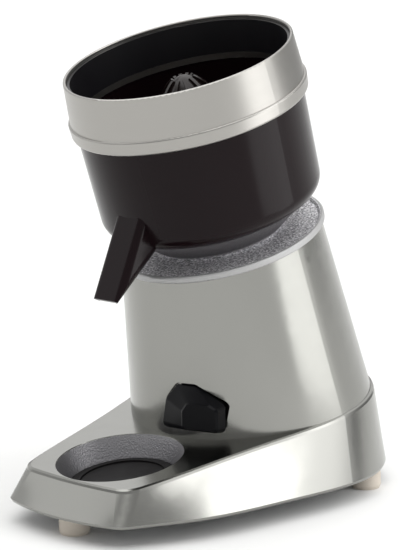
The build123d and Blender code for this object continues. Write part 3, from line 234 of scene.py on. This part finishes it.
# Pale floor of matt paper
FLOOR_SIDE = 80.0
bpy.ops.object.select_all(action="DESELECT")
bpy.ops.mesh.primitive_plane_add(size=FLOOR_SIDE)
floor = bpy.context.object
floor.name = "studio_floor"
floor_paper, tree, shader = blank("white_floor_paper", Base_Color=tone("#E6E6E5"), Roughness=0.9)
shader.inputs["Specular IOR Level"].default_value = 0.1
floor.data.materials.append(floor_paper)

# Studio: a grey room with a bright ceiling, lighter walls at left and right and a pale band at the back left
CEILING = 2.3
world = bpy.data.worlds.new("studio")
bpy.context.scene.world = world
world.use_nodes = True
tree = world.node_tree
ray = put(tree, "ShaderNodeSeparateXYZ", {"Vector": put(tree, "ShaderNodeTexCoord").outputs["Generated"]})
ahead = put(tree, "ShaderNodeMath", {0: ray.outputs["Y"], 1: -1.0}, operation="MULTIPLY")
turn = put(tree, "ShaderNodeMath", {0: ray.outputs["X"], 1: ahead.outputs["Value"]}, operation="ARCTAN2")
share = put(tree, "ShaderNodeMapRange", {"Value": turn.outputs["Value"], "From Min": -pi, "From Max": pi})


def room_band(bands):
    """Grey levels round the room, by degrees from the front towards the right."""
    band = put(tree, "ShaderNodeValToRGB", {"Fac": share.outputs["Result"]})
    ramp = band.color_ramp
    while len(ramp.elements) < len(bands):
        ramp.elements.new(0.5)
    for stop, (azimuth, level) in zip(ramp.elements, bands):
        stop.position = (azimuth + 180) / 360
        stop.color = (level, level, level, 1.0)
    return band.outputs["Color"]


def rising(low, high):
    """Share that grows from one height of the view ray to another."""
    return put(tree, "ShaderNodeMapRange", {"Value": ray.outputs["Z"], "From Min": low, "From Max": high},
               interpolation_type="SMOOTHSTEP").outputs["Result"]


walls = room_band([(-180, 0.35), (-130, 0.25), (-95, 0.8), (-75, 1.0), (-45, 0.45), (60, 0.45), (100, 0.6),
                   (107, 0.9), (126, 0.9), (134, 0.35), (180, 0.35)])
above = room_band([(-180, 0.8), (-136, 1.35), (-95, 0.8), (0, 0.5), (90, 0.5), (120, 0.8), (180, 0.8)])
lower = put(tree, "ShaderNodeMix", {"Factor": rising(0.22, 0.36), "A": walls, "B": above}, data_type="RGBA")
room = put(tree, "ShaderNodeMix", {"Factor": rising(0.72, 0.84), "A": lower.outputs[2],
                                   "B": (CEILING, CEILING, CEILING, 1.0)}, data_type="RGBA")
tree.links.new(room.outputs[2], tree.nodes["Background"].inputs["Color"])

# Soft key and fill light: name, degrees from the front, degrees above level, strength, degrees of spread
LAMPS = (("key_light", 118.0, 35.0, 0.4, 30.0), ("fill_light", -54.0, 35.0, 0.2, 40.0))
for name, azimuth, height, strength, spread in LAMPS:
    lamp = bpy.data.lights.new(name, "SUN")
    lamp.energy = strength
    lamp.angle = radians(spread)
    holder = bpy.data.objects.new(name, lamp)
    bpy.context.scene.collection.objects.link(holder)
    holder.rotation_euler = (radians(90.0 - height), 0.0, radians(azimuth))

# Tall light box standing close at the right, out of the picture
BOX_AZIMUTH = 116.0
BOX_AWAY = 0.55
BOX_W = 0.34
BOX_H = 0.6
BOX_Z = 0.32
BOX_WATTS = 1.15
box = bpy.data.lights.new("right_light_box", "AREA")
box.shape = "RECTANGLE"
box.size = BOX_W
box.size_y = BOX_H
box.energy = BOX_WATTS
holder = bpy.data.objects.new("right_light_box", box)
bpy.context.scene.collection.objects.link(holder)
holder.location = (BOX_AWAY * sin(radians(BOX_AZIMUTH)), -BOX_AWAY * cos(radians(BOX_AZIMUTH)), BOX_Z)
holder.rotation_euler = (radians(90.0), 0.0, radians(BOX_AZIMUTH))

# Camera at the photograph's viewing angle, 44 degrees right of the front and 10.6 degrees above level
LENS_MM = 147.7665
SENSOR_MM = 36.0
camera = bpy.data.cameras.new("camera")
camera.lens = LENS_MM
camera.sensor_width = SENSOR_MM
viewer = bpy.data.objects.new("camera", camera)
bpy.context.scene.collection.objects.link(viewer)
viewer.matrix_world = Matrix((
    (0.72073, -0.11395, 0.68379, 1.12647),
    (0.69297, 0.14467, -0.70630, -1.16009),
    (-0.01844, 0.98290, 0.18323, 0.46570),
    (0.0, 0.0, 0.0, 1.0)))
bpy.context.scene.camera = viewer
bpy.context.scene.view_settings.view_transform = "Standard"
